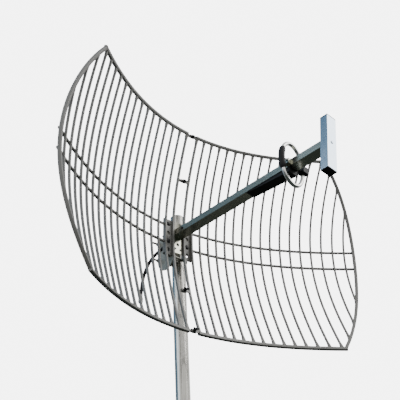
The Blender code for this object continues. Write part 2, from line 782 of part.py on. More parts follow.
def make_bracket():
    clamp_left, clamp_right, tilt_left, tilt_right = bracket_stack()
    flange_front = hub_back - clearance
    flange = box((-flange_half_width, flange_bottom, flange_back),
                 (flange_half_width, flange_top, flange_front))
    fan_radius = lock_radius + lock_boss
    root = flange_back + 0.0010
    lock_y, lock_z = lock_place(lock_angle)
    pivot = (pivot_y, pivot_z)
    spread = math.degrees(math.asin(lock_boss / lock_radius))
    outline = [(pivot_y + pivot_boss + 0.004, root)]
    outline += arc(pivot, pivot_boss, 0, -70, 5)
    lobe = 270 - lock_angle
    outline += arc((lock_y, lock_z), lock_boss, lobe + 60, lobe - 90, 6)[:5]
    outline += arc(pivot, fan_radius, 270 - lock_angle - spread * 0.6, 166, 5)
    outline.append((flange_bottom + 0.004, root))
    tilt_plate = prism(outline, tilt_left, tilt_right)
    holes = [rod((tilt_left - 0.01, pivot_y, pivot_z), (tilt_right + 0.01, pivot_y, pivot_z),
                 bolt_diameter + 2 * clearance),
             rod((tilt_left - 0.01, lock_y, lock_z), (tilt_right + 0.01, lock_y, lock_z),
                 bolt_diameter + 2 * clearance)]
    for side in (-1, 1):
        for level in carriage_y:
            holes.append(rod((side * hub_x, level, flange_back - 0.01),
                             (side * hub_x, level, 0), bolt_diameter + 2 * clearance))
        holes.append(rod((side * foot_screw_x, foot_screw_y, flange_back - 0.01),
                         (side * foot_screw_x, foot_screw_y, 0),
                         foot_screw_diameter + 2 * clearance, sides=12))
    holes.append(rod((0, foot_hole_y, flange_back - 0.01), (0, foot_hole_y, 0),
                     foot_hole_diameter))
    holes.append(rod((gland_x, gland_y, flange_back - 0.01), (gland_x, gland_y, 0), gland_hole))
    dish_piece("tilt_bracket", cut(fuse(flange, tilt_plate), *holes), "zinc")
    for side, side_name in ((-1, "left"), (1, "right")):
        for level, level_name in zip(carriage_y, ("upper", "lower")):
            place = f"{side_name}_{level_name}"
            face = hub_back + hub_thickness + clearance
            dish_piece(f"carriage_bolt_{place}", carriage_bolt((side * hub_x, level, face)),
                       "black_steel")
            dish_piece(f"flange_nut_{place}",
                       nut((side * hub_x, level, flange_back - clearance), (0, 0, -1)), "zinc")
    head_face = (tilt_right + clearance, pivot_y, pivot_z)
    reach = tilt_right - clamp_left + bolt_reach
    dish_piece("pivot_bolt", hex_bolt(head_face, (-1, 0, 0), reach), "zinc")
    dish_piece("lock_bolt", hex_bolt((head_face[0], lock_y, lock_z), (-1, 0, 0), reach), "zinc")
    left_face = clamp_left - clearance
    nut_face = left_face - washer_thickness - clearance
    dish_piece("lock_washer", washer((left_face, lock_y, lock_z), (-1, 0, 0)), "zinc")
    dish_piece("lock_nut", nut((nut_face, lock_y, lock_z), (-1, 0, 0)), "zinc")
    dish_piece("pivot_washer", washer((left_face, pivot_y, pivot_z), (-1, 0, 0)), "zinc")
    dish_piece("pivot_nut", nut((nut_face, pivot_y, pivot_z), (-1, 0, 0)), "zinc")


def carriage_bolt(head_face):
    x, y, z = head_face
    dome = turned(head_face, (0, 0, -1),
                  [(0, -0.0032), (0.0034, -0.0028), (0.0058, -0.0014), (0.0064, 0), (0, 0)])
    neck_half = square_hole / 2 - clearance
    neck = box((x - neck_half, y - neck_half, z - 0.0030), (x + neck_half, y + neck_half, z + 0.001))
    shank = rod((x, y, z - carriage_length), (x, y, z + 0.0005), bolt_diameter, sides=12)
    return fuse(dome, neck, shank)


# clamp: plate, saddles and U-bolts, in the clamp frame

def make_clamp():
    left = plate_x - plate_thickness
    rear = plate_rear_edge
    front = -pivot_reach
    half = (rear - front - plate_relief) / 2
    outline = arc((rear - 0.006, plate_top - 0.006), 0.006, 0, 90, 4)
    outline += [(front + pivot_boss, plate_top)]
    outline += arc((front, 0), pivot_boss, 60, 210, 9)
    outline += [(front - 0.0015, -0.020)]
    outline += arc((rear - half, -plate_straight), half, 180, 360, 16)
    plate = prism(outline, left, plate_x)
    holes = [rod((left - 0.01, front, 0), (plate_x + 0.01, front, 0),
                 bolt_diameter + 2 * clearance)]
    for level in (0, -ubolt_drop):
        for way in (-1, 1):
            holes.append(rod((left - 0.01, way * leg_offset, level),
                             (plate_x + 0.01, way * leg_offset, level),
                             bolt_diameter + 2 * clearance))
    slot_half = bolt_diameter / 2 + 2 * clearance
    first = -(lock_angle + dish_tilt - tilt_down)
    last = -(lock_angle + dish_tilt + tilt_up)
    slot = arc((front, 0), lock_radius + slot_half, first, last, 10)
    end = slot_end((front, 0), last)
    slot += arc(end, slot_half, last, last - 180, 5)[1:-1]
    slot += arc((front, 0), lock_radius - slot_half, last, first, 10)
    start = slot_end((front, 0), first)
    slot += arc(start, slot_half, first + 180, first, 5)[1:-1]
    holes.append(prism(slot, left - 0.01, plate_x + 0.01))
    clamp_piece("clamp_plate", cut(plate, *holes), "zinc")
    for name, level in (("upper", 0), ("lower", -ubolt_drop)):
        clamp_piece(f"saddle_{name}", saddle(level), "zinc")
        bend = [(x, y, level) for x, y in arc((0, 0), leg_offset, -90, 90, 12)]
        route = [(left - ubolt_reach, -leg_offset, level), *bend,
                 (left - ubolt_reach, leg_offset, level)]
        clamp_piece(f"u_bolt_{name}", tube_curve(route, bolt_diameter), "zinc")
        for way, way_name in ((-1, "front"), (1, "rear")):
            clamp_piece(f"clamp_nut_{name}_{way_name}",
                        flanged_nut((left - clearance, way * leg_offset, level), (-1, 0, 0)),
                        "zinc")


def slot_end(centre, angle):
    turn = math.radians(angle)
    return (centre[0] + lock_radius * math.cos(turn), centre[1] + lock_radius * math.sin(turn))


def saddle(level):
    jaw = mast_diameter / 2 / math.sin(math.radians(60)) + clearance
    half = saddle_width / 2
    land = half - 0.0010
    tip = jaw - land / math.tan(math.radians(60))
    base = plate_x + clearance
    outline = [(base, -half), (-tip - 0.002, -half), (-tip, -land), (-jaw, 0),
               (-tip, land), (-tip - 0.002, half), (base, half)]
    return prism(outline, level - saddle_height / 2, level + saddle_height / 2, "z")


# mast, standing on its plug

def make_mast():
    low = cap_thickness + clearance
    high = pivot_height + mast_above_pivot
    outer = rod((0, 0, low), (0, 0, high), mast_diameter, sides=32)
    inner = rod((0, 0, low - 0.01), (0, 0, high + 0.01), mast_diameter - 2 * mast_wall, sides=32)
    finish("mast", cut(outer, inner), "stainless")
    bore = mast_diameter / 2 - mast_wall - clearance
    rim = mast_diameter / 2
    finish("mast_foot_plug",
           turned((0, 0, 0), (0, 0, 1), [(0, 0), (rim, 0), (rim, cap_thickness),
                                         (bore, cap_thickness), (bore, 0.020), (0, 0.020)], 24),
           "black_plastic")
    finish("mast_cap",
           turned((0, 0, high + clearance), (0, 0, -1),
                  [(0, -0.0030), (rim - 0.003, -0.0026), (rim, -0.0008), (rim, 0), (bore, 0),
                   (bore, 0.012), (0, 0.012)], 24), "zinc")


# pigtail

def smooth_route(points, spacing):
    """Points at even spacing on a smooth curve through the route's points."""
    route = [Vector(point) for point in points]
    padded = [route[0] * 2 - route[1]] + route + [route[-1] * 2 - route[-2]]
    fine = []
    for p0, p1, p2, p3 in zip(padded, padded[1:], padded[2:], padded[3:]):
        for step in range(20):
            t = step / 20
            fine.append(0.5 * (2 * p1 + (p2 - p0) * t + (2 * p0 - 5 * p1 + 4 * p2 - p3) * t * t
                               + (3 * p1 - p0 - 3 * p2 + p3) * t ** 3))
    fine.append(route[-1])
    places = [fine[0], fine[20]]     # the lead out of the gland stays straight
    travelled = 0.0
    for before, after in zip(fine[20:], fine[21:]):
        travelled += (after - before).length
        if travelled >= spacing:
            places.append(after)
            travelled = 0.0
    if travelled < spacing / 2:
        places.pop()
    places.append(fine[-1])
    return places


def make_pigtail():
    back = flange_back - clearance
    thread = rod((gland_x, gland_y, back - 0.001), (gland_x, gland_y, hub_back + 0.0030),
                 gland_thread, sides=12)
    body = hex_bar((gland_x, gland_y, back), (gland_x, gland_y, back - gland_length), gland_across)
    dish_piece("cable_gland", fuse(body, thread), "black_plastic")
    cable = tube_curve(smooth_route(cable_route, 1.3 * cable_diameter), cable_diameter, False, 2)
    dish_piece("pigtail_cable", cable, "cable_black")
    end = Vector(cable_route[-1])
    along = (end - Vector(cable_route[-2])).normalized()
    start = end + along * clearance
    dish_piece("connector_body",
               turned(start, along,
                      [(0, 0), (0.0042, 0), (0.0046, 0.001), (0.0046, 0.0075), (0.0052, 0.0078),
                       (0.0052, 0.0105), (0.0044, 0.0108), (0.0044, connector_length),
                       (0.0036, connector_length), (0.0036, 0.0180), (0, 0.0180)]),
               "tube_grey")
    ring = turned(start, along,
                  [(0.0047, 0.0112), (0.0064, 0.0112), (0.0066, 0.0118), (0.0066, 0.0225),
                   (0.0064, 0.0231), (0.0047, 0.0231), (0.0047, 0.0112)])
    dish_piece("connector_ring", ring, "tube_grey")
    dish_piece("connector_pin", rod(start + along * (0.0180 + clearance), start + along * 0.0255,
                                    0.0022, sides=10), "bright")


def make_rod_tie():
    x = rib_x(11) + rib_width / 2 + tie_width / 2 + 2 * clearance

    def along_rod(length):
        return lambda t: (x + length * (t - 0.5), upper_rod_y)

    bore = 4 * clearance
    outer = bent_bar(along_rod(tie_width), 1, rod_width + bore + 0.0020,
                     rod_depth + bore + 0.0020, rod_offset)
    inner = bent_bar(along_rod(3 * tie_width), 1, rod_width + bore, rod_depth + bore, rod_offset)
    dish_piece("rod_tie", cut(outer, inner), "black_plastic")


def make_foot_screws():
    for side, name in ((-1, "left"), (1, "right")):
        face = (side * foot_screw_x, foot_screw_y, hub_back + foot_thickness + 6 * clearance)
        dish_piece(f"foot_screw_{name}",
                   pan_screw(face, (0, 0, -1), 0.0100, foot_screw_diameter, 0.0058, 0.0018),
                   "zinc")


make_reflector()
make_feed()
make_foot_screws()
make_bracket()
make_clamp()
make_mast()
make_pigtail()
make_rod_tie()
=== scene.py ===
import math

import bmesh
import bpy
from mathutils import Matrix, Vector


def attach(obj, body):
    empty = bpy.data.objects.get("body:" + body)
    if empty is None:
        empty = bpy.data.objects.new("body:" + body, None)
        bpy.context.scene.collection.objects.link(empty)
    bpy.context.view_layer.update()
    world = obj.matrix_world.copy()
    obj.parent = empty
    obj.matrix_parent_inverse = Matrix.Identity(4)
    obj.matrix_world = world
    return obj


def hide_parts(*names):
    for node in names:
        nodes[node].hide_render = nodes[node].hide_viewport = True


# Grid parabolic antenna on a mast. Metres, +Z up, the dish looks towards -Y.

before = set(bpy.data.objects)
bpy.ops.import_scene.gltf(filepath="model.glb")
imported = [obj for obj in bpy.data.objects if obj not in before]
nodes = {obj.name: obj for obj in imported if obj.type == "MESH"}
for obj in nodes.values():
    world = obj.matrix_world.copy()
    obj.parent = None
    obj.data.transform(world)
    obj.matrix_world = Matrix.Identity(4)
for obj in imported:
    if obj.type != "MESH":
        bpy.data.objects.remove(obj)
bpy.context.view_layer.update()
print("frame loaded:", len(nodes), "nodes")

gap = 0.0003                      # left between pieces that touch

# the dish's own frame: x right, y up, z along the boresight, vertex at zero
pivot = Vector((-0.0560, -0.0465, 0.5090))
dishFrame = (Matrix.Translation(pivot) @ Matrix.Rotation(math.radians(93), 4, "X")
             @ Matrix.Translation((0, -0.0100, 0.0240)))
feedFrame = dishFrame @ Matrix.Rotation(math.radians(-1.5), 4, "X")
armFrame = feedFrame @ Matrix.Rotation(math.radians(-9), 4, "Z")
clampFrame = Matrix.Translation((0, 0, 0.5090))


# camera

view = {
    "place": (-1.1569, -1.3801, -0.4748),
    "forward": (0.5679, 0.6262, 0.5342),
    "up": (-0.3174, -0.4322, 0.8440),
    "lens": 64.66, "sensor": 36, "nearest": 0.01,
}


def added(name, data):
    holder = bpy.data.objects.new(name, data)
    bpy.context.scene.collection.objects.link(holder)
    return holder


def makeCamera():
    camera = bpy.data.cameras.new("camera")
    camera.lens = view["lens"]
    camera.sensor_width = view["sensor"]
    camera.clip_start = view["nearest"]
    holder = added("camera", camera)
    back = -Vector(view["forward"]).normalized()
    right = Vector(view["up"]).cross(back).normalized()
    turn = Matrix((right, back.cross(right), back)).transposed().to_4x4()
    holder.matrix_world = Matrix.Translation(view["place"]) @ turn
    bpy.context.scene.camera = holder


# shader graphs

class Wire:
    def __init__(self, graph, socket):
        self.graph = graph
        self.socket = socket

    def maths(self, operation, first, second):
        return self.graph.add("ShaderNodeMath", {"operation": operation}, {0: first, 1: second})

    def __add__(self, other):
        return self.maths("ADD", self, other)

    def __mul__(self, other):
        return self.maths("MULTIPLY", self, other)


class Graph:
    def __init__(self, tree):
        self.tree = tree

    def add(self, kind, settings=None, inputs=None, output=0):
        node = self.tree.nodes.new(kind)
        for name, value in (settings or {}).items():
            setattr(node, name, value)
        for name, value in (inputs or {}).items():
            self.plug(node.inputs[name], value)
        return Wire(self, node.outputs[output])

    def plug(self, port, value):
        if isinstance(value, Wire):
            self.tree.links.new(value.socket, port)
        elif isinstance(value, (tuple, list)) and port.type == "RGBA" and len(value) == 3:
            port.default_value = (*value, 1)
        else:
            port.default_value = value

    def blend(self, factor, first, second):
        return self.add("ShaderNodeMix", {"data_type": "RGBA"}, {0: factor, 6: first, 7: second}, 2)

    def noise(self, vector, scale, detail=2.0, roughness=0.5):
        return self.add("ShaderNodeTexNoise", None,
                        {"Vector": vector, "Scale": scale, "Detail": detail,
                         "Roughness": roughness})

    def between(self, value, low, high):
        return self.add("ShaderNodeMapRange", None,
                        {"Value": value, "From Min": low, "From Max": high})


class Finish(Graph):
    def __init__(self, name, **constants):
        self.material = bpy.data.materials.new(name)
        self.material.use_nodes = True
        super().__init__(self.material.node_tree)
        self.shader = self.tree.nodes["Principled BSDF"]
        for socket, value in constants.items():
            self.plug(self.shader.inputs[socket.replace("_", " ")], value)
        self.place = self.add("ShaderNodeTexCoord", None, None, "Object")

    def stretched(self, scale):
        return self.add("ShaderNodeMapping", None, {"Vector": self.place, "Scale": scale})

    def feed(self, socket, wire):
        self.tree.links.new(wire.socket, self.shader.inputs[socket])

    def bump(self, height, strength, distance):
        return self.add("ShaderNodeBump", None,
                        {"Height": height, "Strength": strength, "Distance": distance})
    def roughen(self, middle, first, firstSpread, second, secondSpread):
        base = middle - (firstSpread + secondSpread) / 2
        self.feed("Roughness", first * firstSpread + second * secondSpread + base)


def powderCoat(name, light, dark, look):
    made = Finish(name, Metallic=look["metallic"])
    cloud = made.noise(made.place, look["cloudScale"], 4)
    grain = made.noise(made.place, look["grainScale"], 2)
    speck = made.between(made.noise(made.place, look["speckScale"], 3, 0.7), 0.60, 0.72)
    colour = made.blend(cloud * 0.7 + grain * 0.3, dark, light)
    made.feed("Base Color", made.blend(speck * look["speck"], colour, look["dust"]))
    made.roughen(look["roughness"], cloud, 0.12, grain, 0.10)
    peel = made.noise(made.place, look["peelScale"], 1)
    made.feed("Normal", made.bump(peel * 0.7 + grain * 0.3, look["bump"], 0.0004))
    return made.material


def drawnMetal(name, light, dark, look):
    made = Finish(name, Metallic=1.0)
    streak = made.noise(made.stretched(look["stretch"]), look["streakScale"], 3, 0.6)
    fine = made.noise(made.stretched(look["stretch"]), look["streakScale"] * 5, 2)
    cloud = made.noise(made.place, look["cloudScale"], 3)
    # a lengthwise tone mask of drawn grain; on the mast its wide light to dark range also paints
    # reflection streaks
    shade = made.between(streak * 0.6 + cloud * 0.4, 0.32, 0.68)
    made.feed("Base Color", made.blend(shade, dark, light))
    made.roughen(look["roughness"], fine, 0.10, cloud, 0.10)
    made.feed("Normal", made.bump(fine * 0.6 + streak * 0.4, look["bump"], 0.0002))
    return made.material


def platedSteel(name, light, dark, look):
    made = Finish(name, Metallic=look["metallic"])
    spangle = made.add("ShaderNodeTexVoronoi", {"feature": "F1"},
                       {"Vector": made.place, "Scale": look["spangleScale"]}, "Color")
    flake = made.add("ShaderNodeSeparateColor", None, {"Color": spangle})
    cloud = made.noise(made.place, look["cloudScale"], 4, 0.6)
    stain = made.between(made.noise(made.place, look["stainScale"], 3), 0.52, 0.70)
    colour = made.blend(flake * 0.35 + cloud * 0.65, dark, light)
    made.feed("Base Color", made.blend(stain * look["stain"], colour, look["stainColour"]))
    made.roughen(look["roughness"], flake, 0.10, cloud, 0.16)
    grit = made.noise(made.place, look["cloudScale"] * 30, 2)
    made.feed("Normal", made.bump(grit, look["bump"], 0.0003))
    return made.material


def moulded(name, light, dark, look):
    made = Finish(name, Metallic=0.0, Specular_IOR_Level=look["gloss"])
    cloud = made.noise(made.place, look["cloudScale"], 3)
    grain = made.noise(made.place, look["grainScale"], 2, 0.6)
    made.feed("Base Color", made.blend(cloud, dark, light))
    made.roughen(look["roughness"], grain, 0.14, cloud, 0.08)
    made.feed("Normal", made.bump(grain, look["bump"], 0.0003))
    return made.material


looks = {
    "gridCoat": (powderCoat, (0.250, 0.246, 0.232), (0.165, 0.162, 0.150), {
        "metallic": 0.10, "roughness": 0.44, "cloudScale": 14, "grainScale": 420,
        "speckScale": 95, "speck": 0.35, "dust": (0.20, 0.20, 0.19), "peelScale": 900,
        "bump": 0.35}),
    "armMetal": (drawnMetal, (0.50, 0.50, 0.42), (0.38, 0.38, 0.32), {
        "stretch": (60, 1.5, 60), "streakScale": 9, "cloudScale": 22, "roughness": 0.24,
        "bump": 0.18}),
    # the bar's metal tone is its own, but the blue tint in its base colour is a painted sky
    # reflection; the bar's rivet shares it
    "barMetalPaintedReflection": (drawnMetal, (0.60, 0.68, 0.76), (0.50, 0.59, 0.69), {
        "stretch": (60, 60, 1.5), "streakScale": 9, "cloudScale": 20, "roughness": 0.18,
        "bump": 0.15}),
    # the mast's light and dark lengthwise streaks are partly drawn grain and partly painted
    # reflection, standing in for the vertical bright and dark bands on the polished tube
    "mastSteel": (drawnMetal, (0.74, 0.72, 0.68), (0.34, 0.335, 0.30), {
        "stretch": (40, 40, 0.8), "streakScale": 7, "cloudScale": 11, "roughness": 0.20,
        "bump": 0.10}),
    "zincPlate": (platedSteel, (0.44, 0.43, 0.38), (0.28, 0.275, 0.24), {
        "metallic": 0.40, "spangleScale": 330, "cloudScale": 55, "stainScale": 26,
        "stain": 0.5, "stainColour": (0.20, 0.19, 0.13), "roughness": 0.47, "bump": 0.30}),
    "boltZinc": (platedSteel, (0.46, 0.46, 0.42), (0.28, 0.28, 0.24), {
        "metallic": 0.85, "spangleScale": 800, "cloudScale": 120, "stainScale": 60,
        "stain": 0.4, "stainColour": (0.16, 0.15, 0.10), "roughness": 0.39, "bump": 0.2}),
    "brightPlate": (platedSteel, (0.86, 0.86, 0.84), (0.66, 0.66, 0.64), {
        "metallic": 1.0, "spangleScale": 600, "cloudScale": 90, "stainScale": 60,
        "stain": 0.15, "stainColour": (0.4, 0.4, 0.38), "roughness": 0.21, "bump": 0.1}),
    "nickelPlate": (platedSteel, (0.42, 0.42, 0.41), (0.26, 0.26, 0.26), {
        "metallic": 0.9, "spangleScale": 700, "cloudScale": 140, "stainScale": 70,
        "stain": 0.3, "stainColour": (0.12, 0.12, 0.11), "roughness": 0.37, "bump": 0.2}),
    "blackOxide": (platedSteel, (0.035, 0.035, 0.036), (0.016, 0.016, 0.017), {
        "metallic": 0.6, "spangleScale": 500, "cloudScale": 150, "stainScale": 80,
        "stain": 0.3, "stainColour": (0.05, 0.045, 0.04), "roughness": 0.43, "bump": 0.2}),
    "blackPlastic": (moulded, (0.022, 0.022, 0.023), (0.012, 0.012, 0.013), {
        "cloudScale": 60, "grainScale": 1500, "roughness": 0.46, "bump": 0.25,
        "gloss": 0.18}),
    "cableJacket": (moulded, (0.016, 0.016, 0.017), (0.009, 0.009, 0.010), {
        "cloudScale": 90, "grainScale": 2200, "roughness": 0.38, "bump": 0.20,
        "gloss": 0.25}),
}
finishes = {name: make(name, light, dark, look)
            for name, (make, light, dark, look) in looks.items()}
print("finishes made:", len(finishes))


# shape helpers: each returns a bmesh in its own frame

def capped(shape):
    bmesh.ops.holes_fill(shape, edges=[edge for edge in shape.edges if edge.is_boundary], sides=0)
    return shape


def outward(shape):
    shape.normal_update()
    bmesh.ops.recalc_face_normals(shape, faces=shape.faces)
    return shape


def openEdges(shape, angle):
    return [edge for edge in shape.edges
            if len(edge.link_faces) == 2 and edge.calc_face_angle(0) > math.radians(angle)]


def soften(shape, width, segments=2, angle=35):
    bmesh.ops.bevel(shape, geom=openEdges(shape, angle), offset=width, affect="EDGES",
                    segments=segments, profile=0.5, material=-1, clamp_overlap=True)
    return shape


def block(low, high, edge=0.0):
    shape = bmesh.new()
    bmesh.ops.create_cube(shape, size=1)
    size = Vector(high) - Vector(low)
    bmesh.ops.scale(shape, vec=size, verts=shape.verts)
    bmesh.ops.translate(shape, vec=(Vector(high) + Vector(low)) / 2, verts=shape.verts)
    return soften(shape, edge) if edge else shape


def aimed(start, along):
    return (Matrix.Translation(start)
            @ Vector(along).to_track_quat("Z", "Y").to_matrix().to_4x4())


def lathe(profile, start=(0, 0, 0), along=(0, 0, 1), steps=32):
    shape = bmesh.new()
    rim = [shape.verts.new((radius, 0, rise)) for radius, rise in profile]
    edges = [shape.edges.new(pair) for pair in zip(rim, rim[1:])]
    bmesh.ops.spin(shape, geom=rim + edges, axis=(0, 0, 1), cent=(0, 0, 0),
                   angle=2 * math.pi, steps=steps, use_merge=True)
    bmesh.ops.remove_doubles(shape, verts=shape.verts, dist=0.000004)
    shape.transform(aimed(start, along))
    return shape


def looseObject(shape):
    mesh = bpy.data.meshes.new("loose")
    outward(shape).to_mesh(mesh)
    shape.free()
    return added("loose", mesh)


def cleaned(shape):
    bmesh.ops.remove_doubles(shape, verts=shape.verts, dist=0.00001)
    bmesh.ops.dissolve_limit(shape, angle_limit=math.radians(0.5), verts=shape.verts,
                             edges=shape.edges)
    return shape


def carve(shape, cutters, operation="DIFFERENCE"):
    base = looseObject(shape)
    tools = [looseObject(cutter) for cutter in cutters]
    group = bpy.data.collections.new("tools")
    for tool in tools:
        group.objects.link(tool)
    step = base.modifiers.new("carve", "BOOLEAN")
    step.operation = operation
    step.solver = "EXACT"
    step.operand_type = "COLLECTION"
    step.collection = group
    graph = bpy.context.evaluated_depsgraph_get()
    result = bmesh.new()
    result.from_mesh(base.evaluated_get(graph).to_mesh())
    for loose in tools + [base]:
        mesh = loose.data
        bpy.data.objects.remove(loose)
        bpy.data.meshes.remove(mesh)
    bpy.data.collections.remove(group)
    return cleaned(result)


def join(*shapes):
    whole = bmesh.new()
    for shape in shapes:
        mesh = bpy.data.meshes.new("join")
        shape.to_mesh(mesh)
        whole.from_mesh(mesh)
        shape.free()
        bpy.data.meshes.remove(mesh)
    return whole


def place(shape, matrix):
    shape.transform(matrix)
    return shape


def camel(node):
    first, *rest = node.split("_")
    return first + "".join(word.capitalize() for word in rest)


def piece(node, shape, finish, body="dish", name=None, sharp=40):
    name = name or camel(node)
    mesh = bpy.data.meshes.new(name)
    outward(shape).to_mesh(mesh)
    shape.free()
    mesh.materials.append(finishes[finish])
    mesh.shade_smooth()
    mesh.set_sharp_from_angle(angle=math.radians(sharp))
    made = added(name, mesh)
    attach(made, body)
    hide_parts(node)
    return made


def fitted(node, shape, spot, along, finish, base=dishFrame, body="dish", sharp=40):
    return piece(node, place(shape, base @ aimed(spot, along)), finish, body, sharp=sharp)


def refined(node, finish, width, body="dish"):
    shape = bmesh.new()
    shape.from_mesh(nodes[node].data)
    return piece(node, soften(outward(cleaned(shape)), width, 2, 50), finish, body, sharp=20)


# pigtail cable, hanging from the gland to its connector

cable = {
    "diameter": 0.0090,
    "spacing": 0.0035,
    "route": (
        (-0.0072, -0.0015, -0.0166), (-0.0072, -0.0015, -0.0212), (-0.0078, -0.0058, -0.0277),
        (-0.0094, -0.0120, -0.0320), (-0.0124, -0.0190, -0.0354), (-0.0166, -0.0263, -0.0387),
        (-0.0214, -0.0335, -0.0427), (-0.0276, -0.0410, -0.0476), (-0.0338, -0.0492, -0.0534),
        (-0.0394, -0.0587, -0.0599), (-0.0440, -0.0698, -0.0666), (-0.0475, -0.0826, -0.0731),
        (-0.0500, -0.0968, -0.0790), (-0.0518, -0.1120, -0.0838), (-0.0530, -0.1280, -0.0872),
        (-0.0538, -0.1440, -0.0890), (-0.0542, -0.1600, -0.0896)),
}


def smoothRoute(points, spacing):
    route = [Vector(point) for point in points]
    padded = [route[0] * 2 - route[1]] + route + [route[-1] * 2 - route[-2]]
    fine = []
    for p0, p1, p2, p3 in zip(padded, padded[1:], padded[2:], padded[3:]):
        for step in range(20):
            t = step / 20
            fine.append(0.5 * (2 * p1 + (p2 - p0) * t + (2 * p0 - 5 * p1 + 4 * p2 - p3) * t * t
                               + (3 * p1 - p0 - 3 * p2 + p3) * t ** 3))
    fine.append(route[-1])
    places = [fine[0]]
    travelled = 0.0
    for before, after in zip(fine, fine[1:]):
        travelled += (after - before).length
        if travelled >= spacing:
            places.append(after)
            travelled = 0.0
    if travelled < spacing / 2:
        places.pop()
    places.append(fine[-1])
    return places


def makeCable():
    points = [dishFrame @ point for point in smoothRoute(cable["route"], cable["spacing"])]
    curve = bpy.data.curves.new("pigtailCable", "CURVE")
    curve.dimensions = "3D"
    curve.bevel_depth = cable["diameter"] / 2
    curve.bevel_resolution = 6
    curve.use_fill_caps = True
    spline = curve.splines.new("POLY")
    spline.points.add(len(points) - 1)
    for point, spot in zip(spline.points, points):
        point.co = (*spot, 1)
    spline.use_smooth = True
    curve.materials.append(finishes["cableJacket"])
    made = added("pigtailCable", curve)
    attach(made, "dish")
    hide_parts("pigtail_cable")
    length = sum((b - a).length for a, b in zip(points, points[1:]))
    along = (Vector(cable["route"][-1]) - Vector(cable["route"][-2])).normalized()
    ends = makeConnector(Vector(cable["route"][-1]) + along * gap, along)
    print("cable made:", round(length, 4), "m")


# lengths run from the cable's end along the connector
connector = {
    "body": ((0, 0), (0.0040, 0), (0.0043, 0.0004), (0.0046, 0.0010), (0.0046, 0.0070),
             (0.0050, 0.0075), (0.0052, 0.0080), (0.0052, 0.0103), (0.0044, 0.0107),
             (0.0044, 0.0257), (0.0042, 0.0260), (0.0038, 0.0260), (0.0036, 0.0257),
             (0.0036, 0.0180), (0, 0.0180)),
    "bore": ((0, 0.005), (0.0047, 0.005), (0.0047, 0.030), (0, 0.030)),
    "pin": ((0, 0.0183), (0.0011, 0.0183), (0.0011, 0.0248), (0.0007, 0.0255), (0, 0.0255)),
    "ringRadius": 0.0065, "ringLength": 0.0119, "ringMiddle": 0.01715,
    "teeth": 20, "knurlStart": 0.0128, "knurlEnd": 0.0215, "knurlDepth": 0.93,
}


def knurledRing():
    ring = bmesh.new()
    radius, teeth = connector["ringRadius"], connector["teeth"]
    bmesh.ops.create_cone(ring, cap_ends=True, segments=teeth * 2, radius1=radius,
                          radius2=radius, depth=connector["ringLength"])
    bmesh.ops.translate(ring, vec=(0, 0, connector["ringMiddle"]), verts=ring.verts)
    sides = [edge for edge in ring.edges if abs(edge.verts[0].co.z - edge.verts[1].co.z) > 0.01]
    bmesh.ops.subdivide_edges(ring, edges=sides, cuts=9)
    for vert in ring.verts:                       # a knurl of straight ribs between two rims
        turn = round(math.atan2(vert.co.y, vert.co.x) / math.pi * teeth)
        inside = connector["knurlStart"] < vert.co.z < connector["knurlEnd"]
        if turn % 2 and inside:
            vert.co.x *= connector["knurlDepth"]
            vert.co.y *= connector["knurlDepth"]
    return soften(carve(ring, [lathe(connector["bore"], steps=40)]), 0.0002, 1, 60)


def makeConnector(start, along):
    return [fitted("connector_body", lathe(connector["body"]), start, along, "nickelPlate",
                   sharp=30),
            fitted("connector_ring", knurledRing(), start, along, "nickelPlate", sharp=25),
            fitted("connector_pin", lathe(connector["pin"], steps=16), start, along,
                   "brightPlate")]


makeCamera()
makeCable()


# the two grid halves

grid = {
    "halfWidth": 0.5000 - 0.0044, "halfHeight": 0.3000 - 0.0044, "cornerX": 0.4040 - 0.0044,
    "focal": 0.2955, "endFlattening": -1.57, "cornerLift": 1.16,
    "ribs": 18, "centreGap": 0.0379, "pitch": 0.02675,
    "ribWidth": 0.0054, "ribDepth": 0.0062, "innerWidth": 0.0064,
    "frameWidth": 0.0088, "frameDepth": 0.0090, "rodWidth": 0.0066, "rodDepth": 0.0066,
    "rods": (0.0188, -0.0328), "rodOverlap": 0.0012,
    "frameRise": 0.0001, "ribRise": 0.0003,     # keep the faces of crossing bars apart
    "hubTop": 0.0370, "hubBottom": -0.0680, "hubBack": -0.0065, "hubThickness": 0.0040,
    "squareHole": 0.0086, "roundHole": 0.0110,
    "squareY": (0.0240, -0.0280), "roundY": (-0.0040, -0.0530),
    "earHeight": 0.0086, "earThickness": 0.0030, "earOverlap": 0.0080,
    "ears": {"top": 0.2926, "upper": 0.1610, "lower": -0.1730, "bottom": -0.2926},
    "flare": 0.0050,              # extra width of a rib where it runs into the frame
    "flareLength": 0.0110,
    "frameEdge": 0.0016, "ribEdge": 0.0009, "rodEdge": 0.0018, "earEdge": 0.0008,
    "sideSteps": 48, "endSteps": 36, "steps": 30, "earSteps": 4,
}
hubX = grid["centreGap"] / 2 + grid["pitch"] / 2
rodOffset = -(grid["ribDepth"] / 2 + grid["rodDepth"] / 2 - grid["rodOverlap"])


def dishDepth(x, y):
    bowl = (x * x + y * y) / (4 * grid["focal"])
    return bowl + grid["endFlattening"] * y ** 4 + grid["cornerLift"] * x * x * y * y


def onDish(x, y):
    return Vector((x, y, dishDepth(x, y)))


def dishNormal(x, y):
    step = 0.0005
    slopeX = (dishDepth(x + step, y) - dishDepth(x - step, y)) / (2 * step)
    slopeY = (dishDepth(x, y + step) - dishDepth(x, y - step)) / (2 * step)
    return Vector((-slopeX, -slopeY, 1)).normalized()


sideSag = grid["halfWidth"] - grid["cornerX"]
sideRadius = (grid["halfHeight"] ** 2 + sideSag ** 2) / (2 * sideSag)


def sideX(y):
    return grid["halfWidth"] - sideRadius + math.sqrt(sideRadius ** 2 - y * y)


def sideY(x):
    reach = x - grid["halfWidth"] + sideRadius
    return math.sqrt(max(sideRadius ** 2 - reach * reach, 0))


